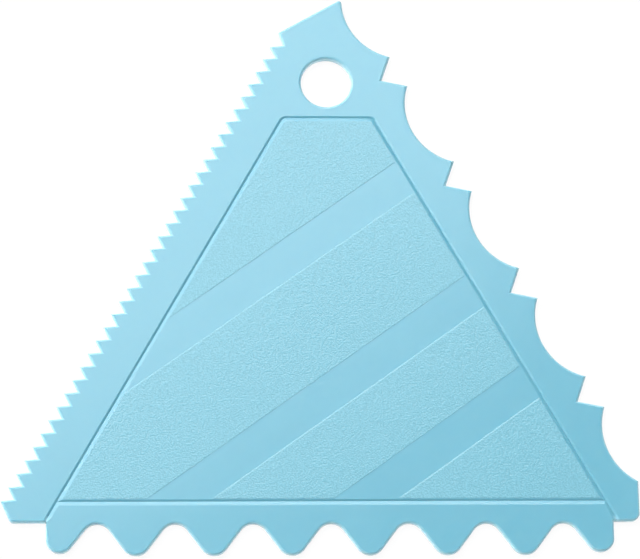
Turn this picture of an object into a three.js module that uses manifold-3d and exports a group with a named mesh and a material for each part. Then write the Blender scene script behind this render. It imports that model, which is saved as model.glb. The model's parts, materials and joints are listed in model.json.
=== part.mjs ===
// Dough scraper: a thin triangular plate with a different comb along each of its three edges.
// The plate is one moulding. It is divided here along the grooves around its panel and under its raised
// grained fields, and across its border on both sides of the tab that it hangs by.
// Millimetres. The origin is on the back face, in the middle of the panel; the face points to +Z.

import * as THREE from 'three';
import { ConvexGeometry } from 'three/addons/geometries/ConvexGeometry.js';
import { mergeVertices } from 'three/addons/utils/BufferGeometryUtils.js';
import Module from 'manifold-3d';

// Plate
const plateThickness = 1.5;

// Panel, measured along the middle of the grooves around it
const panelHeight = 63.8;
const panelTopWidth = 14.8;

// V-shaped grooves around the panel; those of the sides run out a gap past the ends of the wave comb
const grooveWidth = 0.8;
const grooveDepth = 0.4;
const grooveEndGap = 0.39;

// Clearance between two neighbouring zones of the plate
const seam = 0.02;

// Saw comb on the left: reach is out from the groove, rise is up along it from the panel's corner
const toothPitch = 2.5;
const toothDepth = 1.78;
const sawReach = 7.75;
const sawRise = 12.5;
const tabToothCount = 5;

// Scallop comb on the right: round bites with a V-shaped notch between each two
const scallopPitch = 20.8;
const scallopRadius = 10.15;
const scallopReach = 4.88;
const scallopRise = 15.35;
const notchAngle = THREE.MathUtils.degToRad(82);

// Wave comb at the bottom: drop is down from the groove
const wavePitch = 12.36;
const waveRadius = 2.4;
const waveHeight = 5.03;
const waveDrop = 3.54;
const waveEndWidth = 90.2;
const endLobeRadius = 2.2;
const endLobeLift = 0.4;

// Feet that end the two side combs beside the wave comb; the left one is at least so high under the teeth
const footDrop = 3.3;
const rightFootWidth = 4.2;
const rightFootRadius = 1.4;
const leftFootHeight = 3;
const leftFootRadius = 0.8;

// Tab at the top, with the hanging hole; the tip is past the middle of the first scallop
const holeDiameter = 8.3;
const holeRise = 6.22;
const tipOffset = 5.2;
const tipRadius = 0.5;

// Smooth diagonal bands between the grained fields, placed from the panel's middle to the lower right
const bandAngle = THREE.MathUtils.degToRad(35.5);
const bandWidth = 6.1;
const bandPlaces = [-10.35, 11.7, 28.95];
const fieldHeight = 0.1;
const fieldMargin = 0.1;

// Pale turquoise plastic
const plasticColor = 0x97d4ea;
const smoothRoughness = 0.3;
const grainRoughness = 0.6;

// Segments in each drawn arc
const arcSteps = 12;

// Slope of the two sides, from the panel's top corners to where their grooves run out
const sideSpread = waveEndWidth / 2 + grooveEndGap - panelTopWidth / 2;
const sideAngle = Math.atan2(panelHeight + footDrop, sideSpread);

// Corners of the panel, in the middle of the grooves
const panelTop = panelHeight / 2;
const panelBottomWidth = panelTopWidth + 2 * panelHeight / Math.tan(sideAngle);
const topLeft = new THREE.Vector2(-panelTopWidth / 2, panelTop);
const topRight = new THREE.Vector2(panelTopWidth / 2, panelTop);
const bottomLeft = new THREE.Vector2(-panelBottomWidth / 2, -panelTop);
const bottomRight = new THREE.Vector2(panelBottomWidth / 2, -panelTop);

const wasm = await Module();
wasm.setup();

// Finds places beside a slanted groove: a distance down it from the panel's top corner, and out from it.
function besideGroove(corner, side) {
  const along = new THREE.Vector2(side * Math.cos(sideAngle), -Math.sin(sideAngle));
  const outward = new THREE.Vector2(side * Math.sin(sideAngle), Math.cos(sideAngle));
  return (distance, reach) => {
    const onGroove = corner.clone().addScaledVector(along, distance);
    return onGroove.addScaledVector(outward, reach);
  };
}

const besideLeft = besideGroove(topLeft, -1);
const besideRight = besideGroove(topRight, 1);

// Saw teeth, counted from the top
const toothTip = (index) => besideLeft(index * toothPitch - sawRise, sawReach);
const toothRoot = (index) => besideLeft((index + 0.5) * toothPitch - sawRise, sawReach - toothDepth);

// Scallops and notches, counted from the top
const scallopDistance = (index) => index * scallopPitch - scallopRise;
const scallopCenter = (index) => besideRight(scallopDistance(index), scallopReach + scallopRadius);
const notchRoot = (index) => besideRight(scallopDistance(index + 0.5), scallopReach);

// The point of the plate between a notch and the scallop on one side of it: up is -1 and down is 1.
function scallopTip(notch, side) {
  const center = new THREE.Vector2(side * scallopPitch / 2, scallopRadius);
  const flank = new THREE.Vector2(side * Math.sin(notchAngle / 2), Math.cos(notchAngle / 2));
  const ahead = flank.dot(center);
  const length = ahead - Math.sqrt(ahead ** 2 - center.lengthSq() + scallopRadius ** 2);
  return besideRight(scallopDistance(notch + 0.5) + length * flank.x, scallopReach + length * flank.y);
}

// Adds an arc around a center, with the straight line that leads to it.
function addArc(path, center, start, end, clockwise) {
  const from = start.clone().sub(center);
  const to = end.clone().sub(center);
  path.absarc(center.x, center.y, from.length(), from.angle(), to.angle(), clockwise);
}

// Adds the line to a corner and rounds that corner to the left, on the way to the next point.
function addRoundCorner(path, corner, next, radius) {
  const arriving = corner.clone().sub(path.currentPoint).normalize();
  const leaving = next.clone().sub(corner).normalize();
  const setback = radius * Math.tan((leaving.angle() - arriving.angle()) / 2);
  const start = corner.clone().addScaledVector(arriving, -setback);
  const end = corner.clone().addScaledVector(leaving, setback);
  const center = new THREE.Vector2(-arriving.y, arriving.x).multiplyScalar(radius).add(start);
  addArc(path, center, start, end, false);
}

const footLevel = -panelTop - footDrop;
const waveEnd = waveEndWidth / 2;

// How far down a slanted groove a point is that lies a reach out from it and a height over the feet.
function distanceOver(height, reach) {
  return (panelTop - footLevel - height + reach * Math.cos(sideAngle)) / Math.sin(sideAngle);
}

// Teeth, scallops and hollows of the waves, as many as there is room for
const sawRoom = distanceOver(leftFootHeight, sawReach) + sawRise;
const toothCount = Math.floor(sawRoom / toothPitch);
const lastScallopHeight = scallopRadius + rightFootRadius;
const scallopRoom = distanceOver(lastScallopHeight, scallopReach + scallopRadius) + scallopRise;
const scallopCount = Math.floor(scallopRoom / scallopPitch) + 1;
const waveRoom = waveEndWidth - 4 * endLobeRadius - 2 * waveRadius;
const waveCount = Math.floor(waveRoom / wavePitch) + 1;

// The straight top edge of the plate, square to the scallop comb
const tipDistance = scallopDistance(0) - tipOffset;
const topEdgeFall = sawReach + panelTopWidth * Math.sin(sideAngle) + tipDistance * Math.sin(2 * sideAngle);
const sawCorner = besideRight(tipDistance, topEdgeFall / Math.cos(2 * sideAngle));

// Saw teeth from the top edge down, and the left foot under the last of them.
function addSawEdge(outline) {
  outline.moveTo(sawCorner.x, sawCorner.y);
  for (let index = 0; index < toothCount; index += 1) {
    const root = toothRoot(index);
    const tip = toothTip(index + 1);
    outline.lineTo(root.x, root.y);
    outline.lineTo(tip.x, tip.y);
  }
  const tip = toothTip(toothCount);
  const root = toothRoot(toothCount);
  const corner = tip.clone().lerp(root, (tip.y - footLevel) / (tip.y - root.y));
  addRoundCorner(outline, corner, new THREE.Vector2(-waveEnd, footLevel), leftFootRadius);
}

// Lobes and hollows from left to right, joined by straight flanks.
function addWaveEdge(outline) {
  const hollowY = -panelTop - waveDrop - waveRadius;
  const lobeY = -panelTop - waveDrop - waveHeight + waveRadius;
  const endLobeY = -panelTop - waveDrop - waveHeight + endLobeLift + endLobeRadius;
  const endLobeX = waveEnd - endLobeRadius;
  const rounds = [{ x: -endLobeX, y: endLobeY, radius: endLobeRadius, turn: 1 }];
  for (let index = 0; index < 2 * waveCount - 1; index += 1) {
    const x = (index / 2 - (waveCount - 1) / 2) * wavePitch;
    const hollow = index % 2 === 0;
    rounds.push({ x, y: hollow ? hollowY : lobeY, radius: waveRadius, turn: hollow ? -1 : 1 });
  }
  rounds.push({ x: endLobeX, y: endLobeY, radius: endLobeRadius, turn: 1 });

  outline.lineTo(-waveEnd, footLevel);
  let heading = -Math.PI / 2;
  rounds.forEach((round, index) => {
    const arriving = heading;
    const next = rounds[index + 1];
    heading = next ? flankHeading(round, next) : Math.PI / 2;
    const quarter = round.turn * Math.PI / 2;
    outline.absarc(round.x, round.y, round.radius, arriving - quarter, heading - quarter, round.turn < 0);
  });
  outline.lineTo(waveEnd, footLevel);
}

// Direction of the straight flank between two rounds that turn opposite ways.
function flankHeading(round, next) {
  const gap = new THREE.Vector2(next.x - round.x, next.y - round.y);
  return Math.atan2(gap.y, gap.x) + round.turn * Math.asin((round.radius + next.radius) / gap.length());
}

// The right foot, then scallops and notches from the bottom up to the rounded tip.
function addScallopEdge(outline) {
  const rightSide = waveEnd + rightFootWidth;
  const last = scallopCenter(scallopCount - 1);
  const fall = Math.sqrt(scallopRadius ** 2 - (rightSide - last.x) ** 2);
  const end = new THREE.Vector2(rightSide, last.y - fall);
  addRoundCorner(outline, new THREE.Vector2(rightSide, footLevel), end, rightFootRadius);
  let start = end;
  for (let index = scallopCount - 1; index > 0; index -= 1) {
    const root = notchRoot(index - 1);
    addArc(outline, scallopCenter(index), start, scallopTip(index - 1, 1), true);
    outline.lineTo(root.x, root.y);
    start = scallopTip(index - 1, -1);
  }
  const outerRadius = scallopRadius + tipRadius;
  const tipSink = Math.sqrt(outerRadius ** 2 - (tipOffset - tipRadius) ** 2);
  const tipReach = scallopReach + scallopRadius - tipSink;
  const tipCenter = besideRight(tipDistance + tipRadius, tipReach);
  const touch = scallopCenter(0).lerp(tipCenter, scallopRadius / outerRadius);
  addArc(outline, scallopCenter(0), start, touch, true);
  addArc(outline, tipCenter, touch, besideRight(tipDistance, tipReach), false);
}

// The whole outline of the plate, with the hanging hole.
function plateShape() {
  const outline = new THREE.Shape();
  addSawEdge(outline);
  addWaveEdge(outline);
  addScallopEdge(outline);
  const hole = new THREE.Path();
  hole.absarc(0, panelTop + holeRise, holeDiameter / 2, 0, Math.PI, false);
  hole.absarc(0, panelTop + holeRise, holeDiameter / 2, Math.PI, 2 * Math.PI, false);
  outline.holes.push(hole);
  return outline;
}

// Turns a closed geometry into a solid that can be cut.
function solidOf(geometry) {
  geometry.deleteAttribute('normal');
  geometry.deleteAttribute('uv');
  const merged = mergeVertices(geometry);
  const vertProperties = new Float32Array(merged.attributes.position.array);
  const triVerts = new Uint32Array(merged.index.array);
  return new wasm.Manifold(new wasm.Mesh({ numProp: 3, vertProperties, triVerts }));
}

// Part of a polygon on the left of a line, and an inset further to the left.
function clip(polygon, [from, to], inset) {
  const direction = to.clone().sub(from).normalize();
  const inward = new THREE.Vector2(-direction.y, direction.x);
  const depth = (point) => point.clone().sub(from).dot(inward) - inset;
  return polygon.flatMap((point, index) => {
    const next = polygon[(index + 1) % polygon.length];
    const here = depth(point);
    const there = depth(next);
    const kept = here >= 0 ? [point] : [];
    return here * there < 0 ? [...kept, point.clone().lerp(next, here / (here - there))] : kept;
  });
}

// The area on the left of every line, with an inset, inside a square around the plate.
function area(lines, inset) {
  const edge = 2 * panelHeight;
  const turns = [[-1, -1], [1, -1], [1, 1], [-1, 1]];
  const square = turns.map(([x, y]) => new THREE.Vector2(x * edge, y * edge));
  return lines.reduce((polygon, line) => clip(polygon, line, inset), square);
}

// A solid between a convex polygon at one height and another at the next.
function between(low, lowZ, high, highZ) {
  const bottom = low.map((point) => new THREE.Vector3(point.x, point.y, lowZ));
  const top = high.map((point) => new THREE.Vector3(point.x, point.y, highZ));
  return solidOf(new ConvexGeometry([...bottom, ...top]));
}

// The lines that divide the plate, each zone on the left of its lines. The tab ends at a tooth's root on
// one side, and on the other side straight out from the panel's corner.
const tabLeft = toothRoot(tabToothCount - 1);
const tabRight = besideRight(0, scallopReach);
const zoneLines = {
  saw_comb: [[bottomLeft, topLeft], [topLeft, tabLeft]],
  scallop_comb: [[topRight, bottomRight], [tabRight, topRight]],
  wave_comb: [[topLeft, bottomLeft], [bottomRight, bottomLeft], [bottomRight, topRight]],
  hanging_tab: [[topLeft, topRight], [topRight, tabRight], [tabLeft, topLeft]],
  center_panel: [
    [topLeft, bottomLeft],
    [bottomLeft, bottomRight],
    [bottomRight, topRight],
    [topRight, topLeft],
  ],
};

// The V-shaped grooves around the panel and on between the feet and the wave comb.
function grooves() {
  const bottomZ = plateThickness - grooveDepth;
  const topZ = plateThickness + grooveDepth;
  const plug = (lines, spread) => between(area(lines, 0), bottomZ, area(lines, spread), topZ);
  const outerLines = [[topLeft, bottomLeft], [bottomRight, topRight], [topRight, topLeft]];
  return plug(outerLines, -grooveWidth)
    .subtract(plug(zoneLines.center_panel, grooveWidth))
    .subtract(plug(zoneLines.wave_comb, grooveWidth));
}

// A line across the panel along one edge of a band, with the lower right on its left.
function bandLine(place) {
  const middle = new THREE.Vector2(Math.sin(bandAngle), -Math.cos(bandAngle)).multiplyScalar(place);
  const back = new THREE.Vector2(-Math.cos(bandAngle), -Math.sin(bandAngle));
  return [middle, middle.clone().add(back)];
}

// A raised field between two bands, with sloped edges; the first and last have a band on one side only.
function grainField(index) {
  const above = bandPlaces[index - 1];
  const below = bandPlaces[index];
  const bandLines = [];
  if (above !== undefined) {
    bandLines.push(bandLine(above + bandWidth / 2));
  }
  if (below !== undefined) {
    bandLines.push(bandLine(below - bandWidth / 2).reverse());
  }
  const outline = (slope) => {
    const inside = area(zoneLines.center_panel, grooveWidth / 2 + fieldMargin + slope);
    return bandLines.reduce((polygon, line) => clip(polygon, line, slope), inside);
  };
  return between(outline(0), plateThickness, outline(fieldHeight), plateThickness + fieldHeight);
}

// Makes a named mesh from a finished solid.
function meshOf(name, solid, material) {
  const { vertProperties, triVerts, numProp } = solid.getMesh();
  const geometry = new THREE.BufferGeometry();
  geometry.setAttribute('position', new THREE.BufferAttribute(new Float32Array(vertProperties), numProp));
  geometry.setIndex(new THREE.BufferAttribute(new Uint32Array(triVerts), 1));
  geometry.computeVertexNormals();
  const mesh = new THREE.Mesh(geometry, material);
  mesh.name = name;
  return mesh;
}

// One plastic, smooth on the plate and rougher on the grained fields
function plastic(roughness) {
  return new THREE.MeshStandardMaterial({ color: plasticColor, roughness, metalness: 0 });
}

const scraper = new THREE.Group();
const plateGeometry = new THREE.ExtrudeGeometry(plateShape(), {
  depth: plateThickness,
  bevelEnabled: false,
  curveSegments: arcSteps,
});
const plate = solidOf(plateGeometry).subtract(grooves());
for (const [name, lines] of Object.entries(zoneLines)) {
  const polygon = area(lines, seam / 2);
  const zone = between(polygon, -plateThickness, polygon, 2 * plateThickness);
  scraper.add(meshOf(name, plate.intersect(zone), plastic(smoothRoughness)));
}

const fieldNames = ['top_grain_field', 'upper_grain_field', 'lower_grain_field', 'corner_grain_field'];
fieldNames.forEach((name, index) => {
  scraper.add(meshOf(name, grainField(index), plastic(grainRoughness)));
});

export default scraper;
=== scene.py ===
"""Dough scraper: a moulded plastic plate with three combed edges, dressed around its CAD frame."""

import json
import logging
import math
from dataclasses import dataclass, field
from enum import Enum
from typing import Any, Callable

import bmesh
import bpy
from mathutils import Matrix, Vector

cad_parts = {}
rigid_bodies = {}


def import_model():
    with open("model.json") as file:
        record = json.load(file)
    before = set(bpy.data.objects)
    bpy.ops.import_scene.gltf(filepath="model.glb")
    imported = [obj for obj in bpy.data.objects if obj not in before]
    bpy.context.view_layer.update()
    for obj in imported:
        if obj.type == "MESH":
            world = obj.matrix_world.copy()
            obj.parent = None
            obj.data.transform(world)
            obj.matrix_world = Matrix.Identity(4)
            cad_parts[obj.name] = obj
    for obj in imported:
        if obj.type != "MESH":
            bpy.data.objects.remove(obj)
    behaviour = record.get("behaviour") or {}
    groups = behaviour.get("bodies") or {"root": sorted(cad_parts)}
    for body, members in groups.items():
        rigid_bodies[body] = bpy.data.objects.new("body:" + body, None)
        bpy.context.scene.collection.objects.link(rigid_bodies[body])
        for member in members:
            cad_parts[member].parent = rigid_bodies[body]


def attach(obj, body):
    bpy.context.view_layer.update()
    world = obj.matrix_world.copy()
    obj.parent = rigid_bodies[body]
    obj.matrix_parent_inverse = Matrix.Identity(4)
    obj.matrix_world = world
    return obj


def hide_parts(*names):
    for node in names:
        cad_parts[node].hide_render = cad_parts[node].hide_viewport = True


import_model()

LOG = logging.getLogger("scraper")

MM = 0.001
BODY = "root"
# Name of the point attribute that masks the painted light on rims and walls.
EDGE = "edge"
UP = Vector((0.0, 0.0, 1.0))
CREASE_ANGLE = math.radians(30.0)
FULL_STRENGTH = 1.0

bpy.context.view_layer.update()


class Side(Enum):
    """The two slanted sides of the plate, with the sign of their X."""

    LEFT = -1
    RIGHT = 1


class Slot(Enum):
    """The record's material slots."""

    SMOOTH = "smooth_plastic"
    GRAINED = "grained_plastic"


@dataclass(frozen=True)
class Plan:
    """Driving dimensions of the flat plate, in metres, and the places that follow from them."""

    thickness: float = 1.5 * MM
    panel_height: float = 63.8 * MM
    panel_top_width: float = 14.8 * MM
    panel_corner_radius: float = 1.0 * MM
    groove_width: float = 0.8 * MM
    groove_depth: float = 0.165 * MM
    groove_lean: float = 0.1 * MM
    groove_shift: float = 0.22 * MM
    bottom_shift: float = 0.07 * MM
    groove_end_gap: float = 0.39 * MM
    groove_end: float = 1.0 * MM
    seam: float = 0.02 * MM
    tooth_pitch: float = 2.5 * MM
    tooth_depth: float = 1.78 * MM
    tooth_count: int = 36
    saw_reach: float = 7.75 * MM
    saw_rise: float = 12.5 * MM
    scallop_pitch: float = 20.8 * MM
    scallop_radius: float = 10.15 * MM
    scallop_count: int = 5
    scallop_reach: float = 4.88 * MM
    scallop_rise: float = 15.35 * MM
    notch_angle: float = math.radians(82.0)
    wave_pitch: float = 12.36 * MM
    wave_radius: float = 2.4 * MM
    wave_height: float = 5.03 * MM
    wave_count: int = 7
    wave_drop: float = 3.54 * MM
    wave_end_width: float = 90.2 * MM
    end_lobe_radius: float = 2.2 * MM
    end_lobe_lift: float = 0.4 * MM
    foot_drop: float = 3.3 * MM
    right_foot_width: float = 4.2 * MM
    right_foot_radius: float = 1.4 * MM
    left_foot_radius: float = 0.8 * MM
    hole_diameter: float = 8.3 * MM
    hole_rise: float = 6.22 * MM
    tip_offset: float = 5.2 * MM
    tip_radius: float = 0.5 * MM
    band_angle: float = math.radians(35.5)
    band_width: float = 6.1 * MM
    band_places: tuple[float, ...] = (-10.35 * MM, 11.7 * MM, 28.95 * MM)
    field_height: float = 0.1 * MM
    field_margin: float = 0.14 * MM

    @property
    def panel_top(self) -> float:
        """Height of the panel's top edge over its middle."""
        return self.panel_height / 2

    @property
    def panel_bottom(self) -> float:
        """Height of the panel's bottom edge over its middle, below zero."""
        return -self.panel_top - self.bottom_shift

    @property
    def foot_level(self) -> float:
        """Height at which the two feet end."""
        return -self.panel_top - self.foot_drop

    @property
    def wave_end(self) -> float:
        """Distance of the wave strip's ends from the middle."""
        return self.wave_end_width / 2

    @property
    def side_angle(self) -> float:
        """Slope of the two sides."""
        spread = self.wave_end + self.groove_end_gap - self.panel_top_width / 2
        return math.atan2(self.panel_height + self.foot_drop, spread)

    @property
    def hole_center(self) -> Vector:
        """Middle of the hanging hole."""
        return Vector((0.0, self.panel_top + self.hole_rise, 0.0))

    def on_side(self, side: Side, height: float, inset: float = 0.0) -> Vector:
        """Finds a place along the middle of a slanted groove.

        Args:
            side: Left or right.
            height: How high the place is.
            inset: How far it is moved in from the groove's middle.

        Returns:
            The place.
        """
        half = self.panel_top_width / 2 + (self.panel_top - height) / math.tan(self.side_angle)
        half -= inset / math.sin(self.side_angle)
        return Vector((self.groove_shift + side.value * half, height, 0.0))

    def top_corner(self, side: Side, inset: float = 0.0) -> Vector:
        """Top corner of the panel, moved in from the grooves' middle."""
        return self.on_side(side, self.panel_top - inset, inset)

    def bottom_corner(self, side: Side, inset: float = 0.0) -> Vector:
        """Bottom corner of the panel, moved in from the grooves' middle."""
        return self.on_side(side, self.panel_bottom + inset, inset)

    def beside(self, side: Side, distance: float, reach: float) -> Vector:
        """Finds a place beside a slanted groove.

        Args:
            side: The side of the plate.
            distance: How far down the groove from the panel's top corner.
            reach: How far out from the groove.

        Returns:
            The place.
        """
        along = Vector((side.value * math.cos(self.side_angle), -math.sin(self.side_angle), 0.0))
        outward = Vector((side.value * math.sin(self.side_angle), math.cos(self.side_angle), 0.0))
        corner = Vector((side.value * self.panel_top_width / 2, self.panel_top, 0.0))
        return corner + along * distance + outward * reach

    def tooth_tip(self, index: int) -> Vector:
        """Tip of a saw tooth, counted from the top."""
        return self.beside(Side.LEFT, index * self.tooth_pitch - self.saw_rise, self.saw_reach)

    def tooth_root(self, index: int) -> Vector:
        """Root below a saw tooth, counted from the top."""
        distance = (index + 0.5) * self.tooth_pitch - self.saw_rise
        return self.beside(Side.LEFT, distance, self.saw_reach - self.tooth_depth)

    def scallop_distance(self, index: float) -> float:
        """How far down the right groove a scallop's middle is."""
        return index * self.scallop_pitch - self.scallop_rise

    def scallop_center(self, index: int) -> Vector:
        """Center of a round bite, counted from the top."""
        reach = self.scallop_reach + self.scallop_radius
        return self.beside(Side.RIGHT, self.scallop_distance(index), reach)

    def notch_root(self, index: int) -> Vector:
        """Root of the notch below a scallop."""
        return self.beside(Side.RIGHT, self.scallop_distance(index + 0.5), self.scallop_reach)

    def scallop_tip(self, notch: int, way: int) -> Vector:
        """Finds the point of the plate between a notch and the scallop beside it.

        Args:
            notch: The notch, counted from the top.
            way: -1 for the point above the notch and 1 for the one below.

        Returns:
            The point's place.
        """
        center = Vector((way * self.scallop_pitch / 2, self.scallop_radius))
        flank = Vector((way * math.sin(self.notch_angle / 2), math.cos(self.notch_angle / 2)))
        ahead = flank.dot(center)
        length = ahead - math.sqrt(ahead**2 - center.length_squared + self.scallop_radius**2)
        distance = self.scallop_distance(notch + 0.5) + length * flank.x
        return self.beside(Side.RIGHT, distance, self.scallop_reach + length * flank.y)

    def top_edge(self) -> tuple[Vector, Vector]:
        """Finds the straight top edge.

        Returns:
            The saw's corner and the start of the rounded tip.
        """
        distance = self.scallop_distance(0) - self.tip_offset
        twice = 2 * self.side_angle
        fall = self.saw_reach + self.panel_top_width * math.sin(self.side_angle) + distance * math.sin(twice)
        corner = self.beside(Side.RIGHT, distance, fall / math.cos(twice))
        return corner, self.beside(Side.RIGHT, distance, self.tip_reach())

    def tip_reach(self) -> float:
        """Finds the reach of the rounded tip.

        Returns:
            How far out from the right groove its middle is.
        """
        outer = self.scallop_radius + self.tip_radius
        sink = math.sqrt(outer**2 - (self.tip_offset - self.tip_radius) ** 2)
        return self.scallop_reach + self.scallop_radius - sink


PLAN = Plan()


def deselect_objects() -> None:
    """Leaves edit mode and deselects every object."""
    if bpy.context.mode != "OBJECT":
        bpy.ops.object.mode_set(mode="OBJECT")
    bpy.ops.object.select_all(action="DESELECT")


def select_edges(test: Callable[[bmesh.types.BMEdge], bool]) -> int:
    """Selects edges of the mesh in edit mode.

    Args:
        test: Says of an edge whether it is selected.

    Returns:
        The number of edges selected.
    """
    bpy.ops.mesh.select_mode(type="EDGE")
    bpy.ops.mesh.select_all(action="DESELECT")
    mesh = bpy.context.edit_object.data
    cage = bmesh.from_edit_mesh(mesh)
    chosen = [edge for edge in cage.edges if test(edge)]
    for edge in chosen:
        edge.select_set(True)
    bmesh.update_edit_mesh(mesh)
    return len(chosen)


def is_crease(edge: bmesh.types.BMEdge) -> bool:
    """True for an edge between two faces that meet at a clear angle."""
    return len(edge.link_faces) == 2 and edge.calc_face_angle() > CREASE_ANGLE


class Pen:
    """Draws flat outlines in edit mode, one stroke after another."""

    ARC_STEP = 0.3 * MM
    ARC_TURN = math.radians(10.0)
    SAME_PLACE = 0.002 * MM

    def __init__(self, name: str) -> None:
        """Starts an empty sheet.

        Args:
            name: The name of the piece that is drawn.
        """
        deselect_objects()
        bpy.ops.mesh.primitive_plane_add(size=MM)
        self.piece = bpy.context.active_object
        self.piece.name = name
        self.piece.data.name = name
        self.place = Vector()
        bpy.ops.object.mode_set(mode="EDIT")
        bpy.ops.mesh.select_mode(type="VERT")
        bpy.ops.mesh.delete(type="VERT")

    def start(self, place: Vector) -> None:
        """Sets the pen down on a new outline.

        Args:
            place: The first point.
        """
        bpy.ops.mesh.select_all(action="DESELECT")
        bpy.ops.mesh.primitive_plane_add(size=MM)
        bpy.ops.mesh.merge(type="CENTER")
        bpy.ops.transform.translate(value=place)
        self.place = place.copy()

    def line(self, place: Vector) -> list[Vector]:
        """Draws a straight line.

        Args:
            place: The place where it ends.

        Returns:
            Its new point.
        """
        bpy.ops.mesh.extrude_vertices_move(TRANSFORM_OT_translate={"value": place - self.place})
        self.place = place.copy()
        return [place.copy()]

    def arc(self, center: Vector, end: Vector, clockwise: bool) -> list[Vector]:
        """Draws an arc around a center.

        Args:
            center: The arc's center.
            end: The place where the arc ends.
            clockwise: The way it turns.

        Returns:
            The new points on the arc.
        """
        arm = self.place - center
        turn = math.atan2((end - center).y, (end - center).x) - math.atan2(arm.y, arm.x)
        turn %= 2 * math.pi
        if clockwise:
            turn -= 2 * math.pi
        steps = math.ceil(abs(turn) * max(arm.length / self.ARC_STEP, 1 / self.ARC_TURN))
        bpy.ops.mesh.spin(steps=steps, angle=-turn, center=center, axis=UP)
        self.place = end.copy()
        return [center + Matrix.Rotation(turn * step / steps, 3, "Z") @ arm for step in range(1, steps + 1)]

    def corner(self, corner: Vector, following: Vector, radius: float) -> list[Vector]:
        """Draws up to a corner and around it with a radius.

        Args:
            corner: The sharp corner.
            following: The place that the next line goes to.
            radius: The radius of the rounding.

        Returns:
            The new points.
        """
        arriving = (corner - self.place).normalized()
        leaving = (following - corner).normalized()
        across = arriving.cross(leaving).z
        setback = radius * math.tan(arriving.angle(leaving) / 2)
        begin = corner - arriving * setback
        inward = Vector((-arriving.y, arriving.x, 0.0)) * math.copysign(radius, across)
        points = self.line(begin)
        return points + self.arc(begin + inward, corner + leaving * setback, across < 0)

    def close(self) -> None:
        """Joins the outline's ends and fills it with a face."""
        bpy.ops.mesh.select_linked()
        bpy.ops.mesh.remove_doubles(threshold=self.SAME_PLACE)
        bpy.ops.mesh.edge_face_add()

    def join_outlines(self) -> None:
        """Merges outlines that share points."""
        bpy.ops.mesh.select_all(action="SELECT")
        bpy.ops.mesh.remove_doubles(threshold=self.SAME_PLACE)

    def raise_solid(self, base: float, height: float) -> None:
        """Turns the flat faces into a solid.

        Args:
            base: The height of its lower face.
            height: Its thickness.
        """
        bpy.ops.mesh.select_all(action="SELECT")
        bpy.ops.transform.translate(value=UP * base)
        bpy.ops.mesh.select_mode(type="FACE")
        bpy.ops.mesh.extrude_region_move(TRANSFORM_OT_translate={"value": UP * height})
        bpy.ops.mesh.select_all(action="SELECT")
        bpy.ops.mesh.normals_make_consistent(inside=False)


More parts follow.
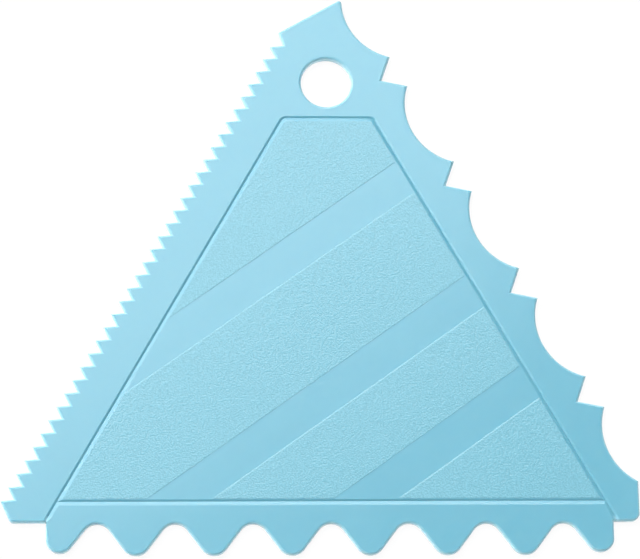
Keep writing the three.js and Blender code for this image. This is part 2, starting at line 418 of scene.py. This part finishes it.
@dataclass
class MouldedPiece:
    """A piece of the plate: its edges, its groove and how it joins the frame."""

    name: str
    nodes: tuple[str, ...]
    slot: Slot
    top: float = PLAN.thickness
    rim_radius: float = 0.42 * MM
    rim_segments: int = 8
    back_radius: float = 0.3 * MM
    back_segments: int = 4
    lip_radius: float = 0.18 * MM
    lip_segments: int = 3
    lit_heading: float = math.radians(140.0)
    groove_points: list[Vector] = field(default_factory=list)
    smooth_angle: float = math.radians(12.0)

    # How far normals rise: an upright face's at most, an upward one's at least, a slope's at most.
    UPRIGHT = 0.02
    UPWARD = 0.5
    SLOPING = 0.99
    # How far the normal of a lit wall reaches towards the light, at least.
    LIT = 0.1

    def is_groove(self, edge: bmesh.types.BMEdge) -> bool:
        """True for a top edge that lies along a groove."""
        level = all(abs(vert.co.z - self.top) < Pen.SAME_PLACE for vert in edge.verts)
        return level and all(self.over_groove(vert.co) for vert in edge.verts)

    def is_groove_bottom(self, edge: bmesh.types.BMEdge) -> bool:
        """Tells whether an edge lies along the lowest line of a groove.

        Args:
            edge: An edge of the piece.

        Returns:
            True if it does.
        """
        level = self.top - PLAN.groove_depth
        low = all(abs(vert.co.z - level) < Pen.SAME_PLACE for vert in edge.verts)
        return low and all(self.over_groove(vert.co) for vert in edge.verts)

    def over_groove(self, place: Vector) -> bool:
        """True for a place on a drawn groove point, at any height."""
        return any((place.xy - point.xy).length < Pen.SAME_PLACE for point in self.groove_points)

    def is_rim(self, edge: bmesh.types.BMEdge) -> bool:
        """Tells whether an edge is the upper edge of a wall that doesn't stand in a groove.

        Args:
            edge: An edge of the piece.

        Returns:
            True if it is.
        """
        upright = any(abs(face.normal.z) < self.UPRIGHT for face in edge.link_faces)
        upward = any(face.normal.z > self.UPWARD for face in edge.link_faces)
        return upright and upward and not all(self.over_groove(vert.co) for vert in edge.verts)

    def is_back_rim(self, edge: bmesh.types.BMEdge) -> bool:
        """True for an edge of the back face away from the grooves."""
        level = all(abs(vert.co.z) < Pen.SAME_PLACE for vert in edge.verts)
        return level and is_crease(edge) and not all(self.over_groove(vert.co) for vert in edge.verts)

    def round_groove(self) -> None:
        """Chamfers the edges along the grooves and flattens that to the grooves' depth."""
        half_width = PLAN.groove_width / 2
        self.round_edges(self.is_groove, half_width, 1)
        bpy.ops.transform.resize(
            value=(1.0, 1.0, PLAN.groove_depth / half_width),
            center_override=UP * self.top,
        )

    def is_lit_wall(self, face: bmesh.types.BMFace) -> bool:
        """True for a groove's wall that faces the main light."""
        toward = Vector((math.cos(self.lit_heading), math.sin(self.lit_heading), 0.0))
        return self.UPWARD < face.normal.z < self.SLOPING and face.normal.dot(toward) > self.LIT

    def is_lit_lip(self, edge: bmesh.types.BMEdge) -> bool:
        """True for an edge between the upper face and a groove's lit wall."""
        level = all(abs(vert.co.z - self.top) < Pen.SAME_PLACE for vert in edge.verts)
        return level and any(self.is_lit_wall(face) for face in edge.link_faces)

    def lean_groove(self) -> None:
        """Moves the grooves' lowest line up the plate, so that one wall is steeper."""
        select_edges(self.is_groove_bottom)
        bpy.ops.transform.translate(value=(0.0, PLAN.groove_lean, 0.0))

    def round_edges(self, test: Callable[[bmesh.types.BMEdge], bool], radius: float, segments: int) -> None:
        """Rounds edges.

        Args:
            test: Says of an edge whether it is rounded.
            radius: The radius of the rounding.
            segments: The number of faces across it.
        """
        if select_edges(test):
            bpy.ops.mesh.bevel(offset=radius, segments=segments, affect="EDGES")

    def shape_plate(self, pen: Pen) -> bpy.types.Object:
        """Turns a drawn outline into a plate with rounded rims and half of a groove along its inner edges.

        Args:
            pen: The pen that drew the outline.

        Returns:
            The finished piece.
        """
        pen.raise_solid(0.0, self.top)
        self.round_edges(self.is_back_rim, self.back_radius, self.back_segments)
        self.round_groove()
        self.round_edges(self.is_lit_lip, self.lip_radius, self.lip_segments)
        self.round_edges(self.is_rim, self.rim_radius, self.rim_segments)
        self.mark_painted_rim_light()
        self.lean_groove()
        self.finish_mesh(pen.piece)
        return pen.piece

    def mark_painted_rim_light(self) -> None:
        """Notes on the rounded rims and the walls how far they turn away from the upper face, up to 1: the
        mask that paints them paler, as painted light shining through the thin edges and bounced up from the
        floor.
        """
        mesh = bpy.context.edit_object.data
        cage = bmesh.from_edit_mesh(mesh)
        layer = cage.verts.layers.float.new(EDGE)
        for vert in cage.verts:
            drop = (self.top - vert.co.z) / self.rim_radius
            if vert.select or drop > 1:
                vert[layer] = math.acos(max(0.0, 1 - max(0.0, drop))) / math.radians(90)
        bmesh.update_edit_mesh(mesh)

    def finish_mesh(self, piece: bpy.types.Object) -> None:
        """Smooths the shading while flat faces stay flat.

        Args:
            piece: The piece.
        """
        deselect_objects()
        piece.select_set(True)
        bpy.context.view_layer.objects.active = piece
        bpy.ops.object.shade_smooth_by_angle(angle=self.smooth_angle)
        weighted = piece.modifiers.new("flat_faces", "WEIGHTED_NORMAL")
        weighted.keep_sharp = True
        bpy.ops.object.modifier_apply(modifier=weighted.name)

    def join_frame(self, piece: bpy.types.Object, material: bpy.types.Material) -> None:
        """Dresses the piece and lets it stand for its CAD nodes.

        Args:
            piece: The finished piece.
            material: Its material.
        """
        piece.data.materials.clear()
        piece.data.materials.append(material)
        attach(piece, BODY)
        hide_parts(*self.nodes)
        LOG.info("%s: %d faces", piece.name, len(piece.data.polygons))


@dataclass
class Border(MouldedPiece):
    """The two side combs and the hanging tab, in one run around the panel."""

    inset: float = -PLAN.seam / 2

    def build(self) -> bpy.types.Object:
        """Models the border.

        Returns:
            The finished piece.
        """
        pen = Pen(self.name)
        self.draw_left(pen)
        self.draw_right(pen)
        pen.join_outlines()
        return self.shape_plate(pen)

    def split_points(self) -> tuple[Vector, Vector, Vector, Vector]:
        """Finds the points on the middle line, which parts the two halves.

        Returns:
            The groove, the hole's bottom and top, and the top edge.
        """
        groove = Vector((0.0, PLAN.panel_top - self.inset, 0.0))
        radius = Vector((0.0, PLAN.hole_diameter / 2, 0.0))
        corner, tip = PLAN.top_edge()
        share = -corner.x / (tip.x - corner.x)
        return groove, PLAN.hole_center - radius, PLAN.hole_center + radius, corner.lerp(tip, share)

    def draw_left(self, pen: Pen) -> None:
        """Draws the half with the saw teeth.

        Args:
            pen: The pen.
        """
        groove, hole_bottom, hole_top, edge = self.split_points()
        end = PLAN.on_side(Side.LEFT, PLAN.foot_level, self.inset)
        last = PLAN.tooth_count
        pen.start(groove)
        drawn = pen.corner(PLAN.top_corner(Side.LEFT, self.inset), end, PLAN.panel_corner_radius)
        drawn += pen.line(PLAN.on_side(Side.LEFT, PLAN.foot_level + PLAN.groove_end, self.inset))
        drawn += pen.line(end)
        self.groove_points += [groove, *drawn]
        tip = PLAN.tooth_tip(last)
        root = PLAN.tooth_root(last)
        foot = tip.lerp(root, (tip.y - PLAN.foot_level) / (tip.y - root.y))
        pen.corner(foot, tip, PLAN.left_foot_radius)
        for index in range(last, 0, -1):
            pen.line(PLAN.tooth_tip(index))
            pen.line(PLAN.tooth_root(index - 1))
        pen.line(PLAN.top_edge()[0])
        pen.line(edge)
        pen.line(hole_top)
        pen.arc(PLAN.hole_center, hole_bottom, clockwise=False)
        pen.line(groove)
        pen.close()

    def draw_right(self, pen: Pen) -> None:
        """Draws the half with the scallops.

        Args:
            pen: The pen.
        """
        groove, hole_bottom, hole_top, edge = self.split_points()
        pen.start(groove)
        pen.line(hole_bottom)
        pen.arc(PLAN.hole_center, hole_top, clockwise=False)
        pen.line(edge)
        pen.line(PLAN.top_edge()[1])
        tip_center = PLAN.top_edge()[1] + self.down_right() * PLAN.tip_radius
        share = PLAN.scallop_radius / (PLAN.scallop_radius + PLAN.tip_radius)
        pen.arc(tip_center, PLAN.scallop_center(0).lerp(tip_center, share), clockwise=True)
        for index in range(PLAN.scallop_count - 1):
            pen.arc(PLAN.scallop_center(index), PLAN.scallop_tip(index, -1), clockwise=False)
            pen.line(PLAN.notch_root(index))
            pen.line(PLAN.scallop_tip(index, 1))
        last = PLAN.scallop_center(PLAN.scallop_count - 1)
        side = PLAN.wave_end + PLAN.right_foot_width
        fall = math.sqrt(PLAN.scallop_radius**2 - (side - last.x) ** 2)
        end = PLAN.on_side(Side.RIGHT, PLAN.foot_level, self.inset)
        pen.arc(last, Vector((side, last.y - fall, 0.0)), clockwise=False)
        pen.corner(Vector((side, PLAN.foot_level, 0.0)), end, PLAN.right_foot_radius)
        drawn = pen.line(end)
        drawn += pen.line(PLAN.on_side(Side.RIGHT, PLAN.foot_level + PLAN.groove_end, self.inset))
        drawn += pen.corner(PLAN.top_corner(Side.RIGHT, self.inset), groove, PLAN.panel_corner_radius)
        self.groove_points += drawn
        pen.line(groove)
        pen.close()

    def down_right(self) -> Vector:
        """Direction down along the right side."""
        return Vector((math.cos(PLAN.side_angle), -math.sin(PLAN.side_angle), 0.0))


@dataclass
class WaveStrip(MouldedPiece):
    """The bottom strip with its waves."""

    inset: float = PLAN.seam / 2

    def build(self) -> bpy.types.Object:
        """Models the strip.

        Returns:
            The finished piece.
        """
        pen = Pen(self.name)
        level = PLAN.panel_bottom - self.inset
        start = PLAN.on_side(Side.LEFT, level, self.inset)
        pen.start(start)
        drawn = pen.line(PLAN.on_side(Side.RIGHT, level, self.inset))
        drawn += pen.line(PLAN.on_side(Side.RIGHT, PLAN.foot_level + PLAN.groove_end, self.inset))
        drawn += pen.line(PLAN.on_side(Side.RIGHT, PLAN.foot_level, self.inset))
        pen.line(Vector((PLAN.wave_end, PLAN.foot_level, 0.0)))
        self.draw_waves(pen)
        pen.line(Vector((-PLAN.wave_end, PLAN.foot_level, 0.0)))
        drawn += pen.line(PLAN.on_side(Side.LEFT, PLAN.foot_level, self.inset))
        drawn += pen.line(PLAN.on_side(Side.LEFT, PLAN.foot_level + PLAN.groove_end, self.inset))
        self.groove_points += [start, *drawn]
        pen.line(start)
        pen.close()
        return self.shape_plate(pen)

    def rounds(self) -> list[tuple[Vector, float, int]]:
        """Lists the lobes and hollows from right to left.

        Returns:
            Their centers, radii and turns. A lobe turns by -1 and a hollow by 1.
        """
        bottom = -PLAN.panel_top - PLAN.wave_drop - PLAN.wave_height
        hollow_y = -PLAN.panel_top - PLAN.wave_drop - PLAN.wave_radius
        lobe_y = bottom + PLAN.wave_radius
        end_y = bottom + PLAN.end_lobe_lift + PLAN.end_lobe_radius
        end_x = PLAN.wave_end - PLAN.end_lobe_radius
        found = [(Vector((end_x, end_y, 0.0)), PLAN.end_lobe_radius, -1)]
        for index in range(2 * PLAN.wave_count - 1):
            x = ((PLAN.wave_count - 1) / 2 - index / 2) * PLAN.wave_pitch
            hollow = index % 2 == 0
            center = Vector((x, hollow_y if hollow else lobe_y, 0.0))
            found.append((center, PLAN.wave_radius, 1 if hollow else -1))
        found.append((Vector((-end_x, end_y, 0.0)), PLAN.end_lobe_radius, -1))
        return found

    def draw_waves(self, pen: Pen) -> None:
        """Draws lobes and hollows joined by straight flanks, from right to left.

        Args:
            pen: The pen.
        """
        rounds = self.rounds()
        heading = Vector((0.0, -1.0, 0.0))
        for index, (center, radius, turn) in enumerate(rounds):
            pen.line(center + self.leftward(heading) * radius * -turn)
            if index + 1 < len(rounds):
                heading = self.flank(rounds[index], rounds[index + 1])
            else:
                heading = Vector((0.0, 1.0, 0.0))
            pen.arc(center, center + self.leftward(heading) * radius * -turn, clockwise=turn < 0)

    def leftward(self, heading: Vector) -> Vector:
        """Direction to the left of a heading."""
        return Vector((-heading.y, heading.x, 0.0))

    def flank(self, here: tuple[Vector, float, int], there: tuple[Vector, float, int]) -> Vector:
        """Heading of the straight flank between two rounds that turn opposite ways.

        Args:
            here: The round that the flank leaves.
            there: The round that it goes to.

        Returns:
            The flank's direction.
        """
        gap = there[0] - here[0]
        lean = here[2] * math.asin((here[1] + there[1]) / gap.length)
        return Matrix.Rotation(lean, 3, "Z") @ gap.normalized()


@dataclass
class Panel(MouldedPiece):
    """The middle of the plate, inside the grooves."""

    inset: float = PLAN.seam / 2

    def draw(self, pen: Pen) -> list[Vector]:
        """Draws the outline.

        Args:
            pen: The pen.

        Returns:
            The outline's points.
        """
        start = PLAN.bottom_corner(Side.LEFT, self.inset)
        right = PLAN.bottom_corner(Side.RIGHT, self.inset)
        top_right = PLAN.top_corner(Side.RIGHT, self.inset)
        top_left = PLAN.top_corner(Side.LEFT, self.inset)
        pen.start(start)
        drawn = pen.line(right)
        drawn += pen.corner(top_right, top_left, PLAN.panel_corner_radius)
        drawn += pen.corner(top_left, start, PLAN.panel_corner_radius)
        pen.line(start)
        pen.close()
        return [start, *drawn]

    def build(self) -> bpy.types.Object:
        """Models the panel.

        Returns:
            The finished piece.
        """
        pen = Pen(self.name)
        self.groove_points += self.draw(pen)
        return self.shape_plate(pen)


@dataclass
class GrainField(Panel):
    """A raised grained field between two smooth bands."""

    index: int = 0
    inset: float = PLAN.groove_width / 2 + PLAN.field_margin
    upper_slope: float = 0.3 * MM
    lower_slope: float = 0.05 * MM
    lower_drop: float = 0.05 * MM
    stretch: float = 5.3

    # How squarely a wall faces across the bands, at least.
    FACING = 0.5

    def build(self) -> bpy.types.Object:
        """Models the field.

        Returns:
            The finished piece.
        """
        pen = Pen(self.name)
        self.draw(pen)
        slopes: list[tuple[float, float]] = []
        if self.index > 0:
            place = PLAN.band_places[self.index - 1] + (PLAN.band_width - self.upper_slope) / 2
            self.cut(place, keep_below=True)
            slopes.append((place, self.upper_slope))
        if self.index < len(PLAN.band_places):
            place = PLAN.band_places[self.index] - PLAN.band_width / 2
            self.cut(place, keep_below=False)
            slopes.append((place, self.lower_slope))
        pen.raise_solid(self.top, PLAN.field_height * self.stretch)
        select_edges(self.is_far_edge)
        bpy.ops.transform.translate(value=UP * -self.lower_drop * self.stretch)
        for place, width in slopes:
            self.round_edges(lambda edge: self.is_band_edge(edge, place), width, 1)
        bpy.ops.mesh.select_all(action="SELECT")
        bpy.ops.transform.resize(value=(1.0, 1.0, 1 / self.stretch), center_override=UP * self.top)
        self.finish_mesh(pen.piece)
        return pen.piece

    def is_raised(self, edge: bmesh.types.BMEdge) -> bool:
        """True for an edge of the field's upper face."""
        return all(vert.co.z > self.top + Pen.SAME_PLACE for vert in edge.verts)

    def is_far_edge(self, edge: bmesh.types.BMEdge) -> bool:
        """True for an upper edge over a wall that faces the lower right or down."""
        facing = any(face.normal.dot(self.across()) > self.FACING for face in edge.link_faces)
        return facing and self.is_raised(edge)

    def is_band_edge(self, edge: bmesh.types.BMEdge, place: float) -> bool:
        """True for an upper edge of the field along a band's edge at a place."""
        along = all(abs(vert.co.dot(self.across()) - place) < Pen.SAME_PLACE for vert in edge.verts)
        return along and self.is_raised(edge)

    def across(self) -> Vector:
        """Direction across the bands, to the lower right."""
        return Vector((math.sin(PLAN.band_angle), -math.cos(PLAN.band_angle), 0.0))

    def cut(self, place: float, keep_below: bool) -> None:
        """Cuts the flat field along a band's edge.

        Args:
            place: How far the edge is from the panel's middle, to the lower right.
            keep_below: True to keep the part to the lower right.
        """
        bpy.ops.mesh.select_all(action="SELECT")
        bpy.ops.mesh.bisect(
            plane_co=self.across() * place,
            plane_no=self.across(),
            clear_inner=keep_below,
            clear_outer=not keep_below,
        )


class Value:
    """A shader value that can be used in sums."""

    def __init__(self, shader: "Shader", socket: bpy.types.NodeSocket) -> None:
        """Wraps an output socket of a shader's node."""
        self.shader = shader
        self.socket = socket

    def math(self, operation: str, first: Any, second: Any) -> "Value":
        """Adds a Math node for two values."""
        return self.shader.node("ShaderNodeMath", {"operation": operation}, {0: first, 1: second})

    def __add__(self, other: Any) -> "Value":
        """Sum."""
        return self.math("ADD", self, other)

    __radd__ = __add__

    def __sub__(self, other: Any) -> "Value":
        """Difference."""
        return self.math("SUBTRACT", self, other)

    def __rsub__(self, other: Any) -> "Value":
        """Difference from a number."""
        return self.math("SUBTRACT", other, self)

    def __mul__(self, other: Any) -> "Value":
        """Product."""
        return self.math("MULTIPLY", self, other)

    __rmul__ = __mul__


class Shader:
    """A material's node tree, built node by node."""

    def __init__(self, name: str) -> None:
        """Starts a material with an empty tree.

        Args:
            name: The material's name.
        """
        self.material = bpy.data.materials.new(name)
        self.material.use_nodes = True
        self.tree = self.material.node_tree
        self.tree.nodes.clear()

    def node(self, kind: str, settings: dict[str, Any], inputs: dict[Any, Any], output: Any = 0) -> Value:
        """Adds a node.

        Args:
            kind: The node's type.
            settings: Its settings, set first.
            inputs: Numbers, colours or values for its sockets.
            output: The output that is used.

        Returns:
            The node's output.
        """
        made = self.tree.nodes.new(kind)
        for name, setting in settings.items():
            setattr(made, name, setting)
        for key, given in inputs.items():
            if isinstance(given, Value):
                self.tree.links.new(given.socket, made.inputs[key])
            else:
                made.inputs[key].default_value = given
        return Value(self, made.outputs[output])

    def place(self) -> Value:
        """The object's own coordinates."""
        return self.node("ShaderNodeTexCoord", {}, {}, "Object")

    def noise(self, feature: float, detail: float) -> Value:
        """Noise with features of a size.

        Args:
            feature: The size of its features in metres.
            detail: The number of finer layers.

        Returns:
            Its value, around a half.
        """
        inputs = {"Vector": self.place(), "Scale": 1 / feature, "Detail": detail}
        return self.node("ShaderNodeTexNoise", {}, inputs, "Fac")

    def bump(self, height: Value, distance: float) -> Value:
        """Bump whose height is given as a share of a distance in metres."""
        inputs = {"Height": height, "Strength": FULL_STRENGTH, "Distance": distance}
        return self.node("ShaderNodeBump", {}, inputs)

    def attribute(self, name: str) -> Value:
        """A number noted on the piece's points."""
        return self.node("ShaderNodeAttribute", {"attribute_name": name}, {}, "Fac")

    def mix(self, share: Value, first: Any, second: Any) -> Value:
        """Mixes two colours by a share."""
        # Sockets 6 and 7 and output 2 are the colours of the Mix node.
        return self.node("ShaderNodeMix", {"data_type": "RGBA"}, {0: share, 6: first, 7: second}, 2)

    def surface(self, shader: Value) -> bpy.types.Material:
        """Connects the surface.

        Args:
            shader: The surface's shader.

        Returns:
            The finished material.
        """
        output = self.tree.nodes.new("ShaderNodeOutputMaterial")
        self.tree.links.new(shader.socket, output.inputs["Surface"])
        return self.material


Color = tuple[float, float, float, float]


@dataclass(frozen=True)
class SmoothPlastic:
    """Satin moulded plastic, faintly clouded, that lets some light in, with painted light on its rims and
    walls, which are paler as if lit through the thin edges and from the floor.
    """

    light: Color = (0.175, 0.453, 0.564, 1.0)
    dark: Color = (0.166, 0.439, 0.549, 1.0)
    # Painted light: rims and walls are mixed towards this paler colour, standing in for light through thin
    # edges and bounced from the floor.
    pale: Color = (0.55, 0.82, 0.90, 1.0)
    cloud: float = 9.0 * MM
    cloud_detail: float = 3.0
    roughness: float = 0.2
    roughness_change: float = 0.04
    ripple: float = 1.2 * MM
    ripple_detail: float = 1.0
    ripple_height: float = 0.002 * MM
    depth: tuple[float, float, float] = (0.05, 0.045, 0.04)
    depth_scale: float = 1.0 * MM
    depth_weight: float = 1.0

    def material(self) -> bpy.types.Material:
        """Builds the material.

        Returns:
            The finished material.
        """
        shader = Shader("smooth_plastic")
        cloud = shader.noise(self.cloud, self.cloud_detail)
        color = shader.mix(cloud, self.dark, self.light)
        ripple = shader.noise(self.ripple, self.ripple_detail)
        bump = shader.bump(ripple, self.ripple_height)
        body = shader.node(
            "ShaderNodeBsdfPrincipled",
            {},
            {
                # Painted light: paler on the rims and walls, by the edge mask.
                "Base Color": shader.mix(shader.attribute(EDGE), color, self.pale),
                "Roughness": cloud * self.roughness_change + (self.roughness - self.roughness_change / 2),
                "Normal": bump,
                "Subsurface Weight": self.depth_weight,
                "Subsurface Radius": self.depth,
                "Subsurface Scale": self.depth_scale,
            },
        )
        return shader.surface(body)


@dataclass(frozen=True)
class GrainedPlastic:
    """The same plastic with a fine moulded grain, whose low spots are painted darker as shade in the pits.
    """

    light: Color = (0.184, 0.478, 0.595, 1.0)
    # Painted shade: the grain's low spots, where the bump height is least, take this darker colour.
    dark: Color = (0.13, 0.34, 0.422, 1.0)
    grain: float = 0.25 * MM
    grain_detail: float = 0.0
    grain_height: float = 0.028 * MM
    roughness: float = 0.24
    roughness_change: float = 0.1

    def material(self) -> bpy.types.Material:
        """Builds the material.

        Returns:
            The finished material.
        """
        shader = Shader("grained_plastic")
        grain = shader.noise(self.grain, self.grain_detail)
        bump = shader.bump(grain, self.grain_height)
        body = shader.node(
            "ShaderNodeBsdfPrincipled",
            {},
            {
                # Painted shade: the colour follows the bump's height and is darker in the pits.
                "Base Color": shader.mix(grain, self.dark, self.light),
                "Roughness": grain * self.roughness_change + (self.roughness - self.roughness_change / 2),
                "Normal": bump,
            },
        )
        return shader.surface(body)


@dataclass
class SoftLamp:
    """A flat studio lamp that faces the middle of the plate before it is moved aside."""

    name: str
    lean: float
    heading: float
    width: float
    length: float
    radiance: float
    aside: float = 0.0
    distance: float = 2.5
    edge_heading: float = math.radians(122.0)

    def build(self) -> None:
        """Hangs the lamp, with one edge square to the heading of its edge."""
        sink = math.sin(self.lean)
        away = Vector((sink * math.cos(self.heading), sink * math.sin(self.heading), math.cos(self.lean)))
        upward = Vector((math.cos(self.edge_heading), math.sin(self.edge_heading), 0.0))
        upward = (upward - away * upward.dot(away)).normalized()
        sideways = upward.cross(away)
        turn = Matrix((sideways, upward, away)).transposed()
        deselect_objects()
        bpy.ops.object.light_add(type="AREA")
        lamp = bpy.context.active_object
        lamp.name = self.name
        place = away * self.distance + sideways * self.aside
        lamp.matrix_world = Matrix.Translation(place) @ turn.to_4x4()
        lamp.data.shape = "RECTANGLE"
        lamp.data.size = self.width
        lamp.data.size_y = self.length
        lamp.data.energy = self.radiance * math.pi * self.width * self.length


@dataclass
class Studio:
    """The floor, the light and the camera."""

    floor_size: float = 4.0
    floor_gap: float = 0.02 * MM
    floor_color: Color = (0.95, 0.95, 0.95, 1.0)
    floor_glow: float = 0.94
    sky_color: Color = (1.0, 1.0, 1.0, 1.0)
    sky_strength: float = 0.08
    lamps: tuple[SoftLamp, ...] = (
        SoftLamp(
            "top_lamp",
            math.radians(29.6),
            math.radians(117.0),
            width=3.4,
            length=1.83,
            radiance=5.5,
            aside=-0.4,
        ),
        SoftLamp(
            "side_lamp",
            math.radians(67.0),
            math.radians(158.0),
            width=1.05,
            length=1.05,
            radiance=10.0,
        ),
        SoftLamp(
            "fill_lamp",
            math.radians(70.0),
            math.radians(-40.0),
            width=1.5,
            length=1.25,
            radiance=1.5,
        ),
    )
    image_width: int = 640
    sensor_width: float = 36.0
    focal_pixels: float = 2821.5
    camera_near: float = 10.0 * MM
    camera_distance: float = 457.35 * MM
    camera_pitch: float = math.radians(-14.704)
    camera_yaw: float = math.radians(2.869)
    camera_roll: float = math.radians(0.655)
    camera_target: Vector = field(default_factory=lambda: Vector((-1.369, 4.498, 1.5)) * MM)

    def build(self) -> None:
        """Sets up the whole studio."""
        bpy.context.scene.view_settings.view_transform = "Standard"
        self.build_floor()
        self.build_sky()
        for lamp in self.lamps:
            lamp.build()
        self.build_camera()

    def build_floor(self) -> None:
        """Lays the pale floor, whose own glow is seen and mirrored but lights no dull surface."""
        deselect_objects()
        bpy.ops.mesh.primitive_plane_add(size=self.floor_size, location=(0.0, 0.0, -self.floor_gap))
        floor = bpy.context.active_object
        floor.name = "studio_floor"
        shader = Shader("studio_floor")
        paint = shader.node("ShaderNodeBsdfDiffuse", {}, {"Color": self.floor_color})
        glow = shader.node("ShaderNodeEmission", {}, {"Strength": FULL_STRENGTH})
        seen = shader.node("ShaderNodeLightPath", {}, {}, "Is Camera Ray")
        mirrored = shader.node("ShaderNodeLightPath", {}, {}, "Is Glossy Ray")
        through = shader.node("ShaderNodeLightPath", {}, {}, "Is Transmission Ray")
        share = (seen + mirrored + through) * self.floor_glow
        floor.data.materials.append(
            shader.surface(shader.node("ShaderNodeMixShader", {}, {0: share, 1: paint, 2: glow}))
        )

    def build_sky(self) -> None:
        """Gives even light from all around."""
        world = bpy.data.worlds.new("studio_sky")
        world.use_nodes = True
        background = world.node_tree.nodes["Background"]
        background.inputs["Color"].default_value = self.sky_color
        background.inputs["Strength"].default_value = self.sky_strength
        bpy.context.scene.world = world

    def build_camera(self) -> None:
        """Places the camera at the photograph's viewing angle."""
        turn = (
            Matrix.Rotation(self.camera_roll, 3, "Z")
            @ Matrix.Rotation(self.camera_pitch, 3, "X")
            @ Matrix.Rotation(self.camera_yaw, 3, "Y")
        ).transposed()
        deselect_objects()
        bpy.ops.object.camera_add()
        camera = bpy.context.active_object
        camera.name = "camera"
        back = turn @ Vector((0.0, 0.0, self.camera_distance))
        camera.matrix_world = Matrix.Translation(self.camera_target + back) @ turn.to_4x4()
        camera.data.sensor_fit = "HORIZONTAL"
        camera.data.sensor_width = self.sensor_width
        camera.data.lens = self.focal_pixels * self.sensor_width / self.image_width
        camera.data.clip_start = self.camera_near
        bpy.context.scene.camera = camera


def main() -> None:
    """Builds the scraper piece by piece and sets up the studio."""
    logging.basicConfig(level=logging.INFO, format="%(name)s: %(message)s")
    smooth = SmoothPlastic().material()
    grained = GrainedPlastic().material()
    plate: list[MouldedPiece] = [
        Border("comb_border", ("saw_comb", "hanging_tab", "scallop_comb"), Slot.SMOOTH),
        WaveStrip("wave_strip", ("wave_comb",), Slot.SMOOTH),
        Panel("grip_panel", ("center_panel",), Slot.SMOOTH),
    ]
    for piece in plate:
        piece.join_frame(piece.build(), smooth)
    fields = ("top_grain_field", "upper_grain_field", "lower_grain_field", "corner_grain_field")
    for index, node in enumerate(fields):
        piece = GrainField(node.replace("_field", ""), (node,), Slot.GRAINED, index=index)
        piece.join_frame(piece.build(), grained)
    Studio().build()


if __name__ == "__main__":
    main()
